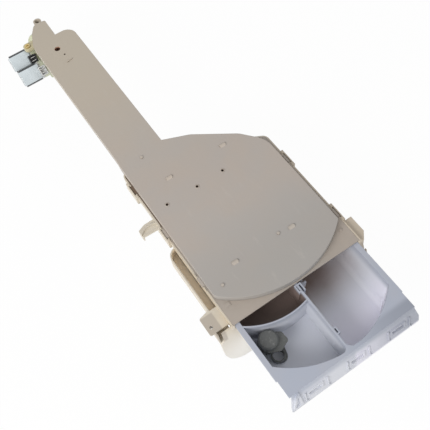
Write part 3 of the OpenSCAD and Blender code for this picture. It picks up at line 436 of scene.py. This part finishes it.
def wound(name, sides, thick, radius, turns, length, steps, laid, finish):
    """A rod with so many sides and so thick in radius, wound into a helix and laid in place.
    Its two ends are capped."""
    bpy.ops.mesh.primitive_circle_add(vertices=sides, radius=thick, rotation=(math.pi / 2, 0, 0))
    helix = bpy.context.object
    helix.name = name
    bpy.ops.object.transform_apply(rotation=True)
    helix.data.transform(Matrix.Translation((radius, 0, 0)))
    winding = helix.modifiers.new("winding", "SCREW")
    winding.axis, winding.angle, winding.screw_offset = "Z", 2 * math.pi * turns, length
    winding.steps = winding.render_steps = int(steps * turns)
    wake(helix)
    bpy.ops.object.modifier_apply(modifier=winding.name)
    bpy.ops.object.mode_set(mode="EDIT")
    bpy.ops.mesh.select_all(action="DESELECT")
    bpy.ops.mesh.select_non_manifold()
    bpy.ops.mesh.edge_face_add()
    bpy.ops.mesh.select_all(action="SELECT")
    bpy.ops.mesh.normals_make_consistent(inside=False)
    bpy.ops.object.mode_set(mode="OBJECT")
    helix.data.transform(laid)
    finished(helix)
    helix.data.materials.append(finish)
    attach(helix, "housing")
    return helix


ridge_sunk = 0.0001
wound("inlet_thread_ridge", 4, thread_pitch * 0.4, root + ridge_sunk,
      (thread_to - thread_from) / thread_pitch, thread_to - thread_from, 40,
      Matrix.Translation((inlet_x, thread_from, inlet_z)) @ Matrix.Rotation(-math.pi / 2, 4, "X"),
      nylon)

# Coils: copper windings moulded over in plastic, pushed on the guide tubes and clamped by
# their yokes. Each has a square shroud round its two tabs, black on the front coil and white
# on the other, whose winding is cast in a darker resin.
tilt = math.radians(47)
coil_z, dark_z, white_coil_y = 0.030, (0.01215, 0.01235), 0.5288


def cast(place, paint):
    """The dark resin round the winding, below the white shroud."""
    x, y, z = place.axes()
    height = (z - coil_z) * math.cos(tilt) - (y - white_coil_y) * math.sin(tilt)
    return blend_colour(1 - height.span(*dark_z), paint, rgba(0.035, 0.04, 0.045))


black_moulding = moulded("black_coil_moulding", (0.02, 0.022, 0.024), (0.022, 0.022, 0.024),
                         (0.018, 0.022, 0.026), 0.4)
white_moulding = moulded("white_coil_moulding", (0.70, 0.71, 0.70), (0.71, 0.71, 0.68),
                         (0.69, 0.71, 0.72), 0.35, wear_and_painted_light=cast)
dressed("coil_1", black_moulding)
dressed("coil_2", white_moulding)

# Guide tubes and strainer: white acetal mouldings. The tubes are screwed on the valve body
# over the diaphragms, and the strainer is pushed into the inlet.
acetal = moulded("white_acetal", (0.70, 0.70, 0.68), (0.71, 0.70, 0.66), (0.69, 0.71, 0.70), 0.35)
for number in "12":
    dressed("guide_tube_" + number, acetal)
dressed("inlet_strainer", acetal)

# Yokes: bent from zinc-plated steel strip round each coil, bright, with the rolling marks
# along the strip and the plating a little clouded.


def metal(name, colour, other, rough, brushed=(1, 1, 1), arris=0.0003, **constants):
    """Bright metal with fine scratches along one way."""
    finish, place, surface = new_finish(name, Metallic=1.0, Roughness=rough, **constants)
    streak = noise(place, 500, 3, 0.6, brushed)
    paint = blend_colour(noise(place, 60, 4).span(0.35, 0.65), rgba(*colour), rgba(*other))
    join_to(surface, arris, streak, 0.00002, Base_Color=paint, Roughness=rough + (streak - 0.5) * 0.2)
    return finish


steel = metal("zinc_plated_steel", (0.58, 0.63, 0.65), (0.53, 0.58, 0.60), 0.38, (0.05, 1, 1))
for number in "12":
    dressed("yoke_" + number, steel)

# Terminals: two 6.3 mm tabs in each shroud, stamped from tinned brass and moulded in.
tinned = metal("tinned_brass", (0.78, 0.76, 0.70), (0.72, 0.72, 0.70), 0.25)
for number in "12":
    dressed("terminals_" + number, tinned)

# Plungers and springs: stainless steel, hidden in the guide tubes. Each spring is wound from
# 0.7 mm wire in six turns.
stainless = metal("stainless_steel", (0.58, 0.58, 0.57), (0.54, 0.54, 0.54), 0.3)
spring_end, spring_long, spring_turns, wire, mean_radius, lift = -0.1245, 0.0163, 6, 0.0007, 0.0027, 0.0025
for number, axis_y in (("1", 0.5643), ("2", white_coil_y)):
    dressed("plunger_" + number, stainless, body="plunger_unit_" + number)
    laid = Matrix.Translation((spring_end + wire / 2, axis_y, coil_z)) @ Matrix.Rotation(math.pi / 2, 4, "Y")
    spring = wound("wound_spring_" + number, 10, wire / 2, mean_radius, spring_turns, spring_long - wire, 24,
                   laid, stainless)
    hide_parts("plunger_spring_" + number)
    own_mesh(spring)

# Diaphragms, seals and flow regulator: black rubber, moulded, and trapped in the valve.
rubber = moulded("black_rubber", (0.02, 0.02, 0.02), (0.022, 0.021, 0.02), (0.018, 0.019, 0.02), 0.7)
for node in ("diaphragm_1", "diaphragm_2", "outlet_seal_1", "outlet_seal_2", "flow_regulator"):
    dressed(node, rubber)

# Valve screw: a cross-recessed pan-head screw, yellow-passivated zinc on steel, that holds
# the arm's tab on the valve body.
yellow_zinc = metal("yellow_passivated_zinc", (0.62, 0.48, 0.21), (0.52, 0.43, 0.27), 0.36)
dressed("valve_screw", yellow_zinc)

# Floor and lights: a plain white floor just under the spout, which keeps the part's shadow,
# a wide soft lamp from the left, a faint one from the front right, and a pale world that
# shows white behind the part.
bpy.ops.mesh.primitive_plane_add(size=30, location=(0, 0, cad_box[0].z - 0.0005))
floor = bpy.context.object
floor.name = "floor"
white_floor, floor_place, floor_surface = new_finish("white_floor", Base_Color=rgba(0.95, 0.95, 0.95),
                                                     Roughness=0.9)


def seen(place):
    """1 for the rays that show the background: from the camera, or off metal and through glass."""
    rays = place.feed("ShaderNodeLightPath").socket.node.outputs
    return sum(Wire(rays["Is " + kind + " Ray"]) for kind in ("Camera", "Glossy", "Transmission")).capped()


glow = floor_place.feed("ShaderNodeEmission", None, {"Color": rgba(1, 1, 1), "Strength": 1.0})
mixed = floor_place.feed("ShaderNodeMixShader", None,
                         {0: seen(floor_place) * 0.96, 1: Wire(floor_surface.outputs[0]), 2: glow})
white_floor.node_tree.links.new(mixed.socket, white_floor.node_tree.nodes["Material Output"].inputs[0])
floor.data.materials.append(white_floor)

world = bpy.data.worlds.new("studio")
world.use_nodes = True
bpy.context.scene.world = world
sky = Wire(world.node_tree.nodes["Background"].outputs[0])
sky.socket.node.inputs["Color"].default_value = rgba(1.0, 0.99, 0.98)
sky.socket.node.inputs["Strength"].default_value = 0.53
backdrop = sky.feed("ShaderNodeBackground", None, {"Color": rgba(1, 1, 1), "Strength": 1.0})
mixed = sky.feed("ShaderNodeMixShader", None, {0: seen(sky), 1: sky, 2: backdrop})
world.node_tree.links.new(mixed.socket, world.node_tree.nodes["World Output"].inputs[0])

for name, place, aim, size, power, colour in (
        ("key_lamp", (-1.65, -0.57, 1.23), (0, 0.2, 0), 1.1, 27, (1, 0.985, 0.965)),
        ("fill_lamp", (0.9, -1.5, 1.2), (0, 0.1, 0), 1.4, 3, (0.96, 0.98, 1))):
    lamp = bpy.data.objects.new(name, bpy.data.lights.new(name, "AREA"))
    lamp.data.size, lamp.data.energy, lamp.data.color = size, power, colour
    lamp.location = place
    lamp.rotation_euler = (Vector(aim) - Vector(place)).to_track_quat("-Z", "Y").to_euler()
    bpy.context.scene.collection.objects.link(lamp)

bpy.context.scene.view_settings.view_transform = "Standard"
